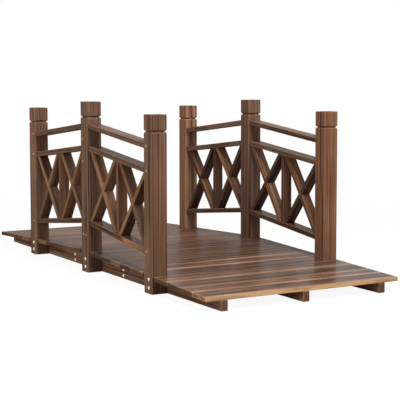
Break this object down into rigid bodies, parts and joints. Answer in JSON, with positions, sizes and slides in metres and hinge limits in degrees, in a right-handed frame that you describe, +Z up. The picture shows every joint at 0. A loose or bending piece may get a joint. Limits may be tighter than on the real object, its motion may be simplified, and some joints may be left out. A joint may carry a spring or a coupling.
{
  "type": "wooden garden footbridge",
  "caption": "Small garden footbridge: gabled plank deck on edge-laid bearers, square grooved posts and sloping railings filled with crossed slats.",
  "frame": {"origin": "on the ground under the middle of the deck", "axes": "+X along the bridge towards the end that is near in the picture, +Y across to the railing on the right in the picture, +Z up"},
  "size_m": [1.5, 0.628, 0.527],
  "materials": {
    "post_fir": "stained carbonised fir, satin",
    "rail_fir": "stained carbonised fir, satin",
    "slat_fir": "stained carbonised fir, satin",
    "deck_fir": "stained carbonised fir, worn satin",
    "bearer_fir": "stained carbonised fir, satin"
  },
  "bodies": {
    "root": {"bearer_centre": "bearer_fir", "bearer_left": "bearer_fir", "bearer_right": "bearer_fir", "board_post_far": "deck_fir", "board_post_mid": "deck_fir", "board_post_near": "deck_fir", "boards_ramp_far": "deck_fir", "boards_ramp_near": "deck_fir", "boards_span_far": "deck_fir", "boards_span_near": "deck_fir", "post_far_left": "post_fir", "post_far_right": "post_fir", "post_mid_left": "post_fir", "post_mid_right": "post_fir", "post_near_left": "post_fir", "post_near_right": "post_fir", "rail_bottom_far_left": "rail_fir", "rail_bottom_far_right": "rail_fir", "rail_bottom_near_left": "rail_fir", "rail_bottom_near_right": "rail_fir", "rail_second_far_left": "rail_fir", "rail_second_far_right": "rail_fir", "rail_second_near_left": "rail_fir", "rail_second_near_right": "rail_fir", "rail_top_far_left": "rail_fir", "rail_top_far_right": "rail_fir", "rail_top_near_left": "rail_fir", "rail_top_near_right": "rail_fir", "slat_upright_far_left": "slat_fir", "slat_upright_far_right": "slat_fir", "slat_upright_near_left": "slat_fir", "slat_upright_near_right": "slat_fir", "slats_falling_far_left": "slat_fir", "slats_falling_far_right": "slat_fir", "slats_falling_near_left": "slat_fir", "slats_falling_near_right": "slat_fir", "slats_rising_far_left": "slat_fir", "slats_rising_far_right": "slat_fir", "slats_rising_near_left": "slat_fir", "slats_rising_near_right": "slat_fir", "spacers_far": "bearer_fir", "spacers_near": "bearer_fir"}
  },
  "joints": []
}
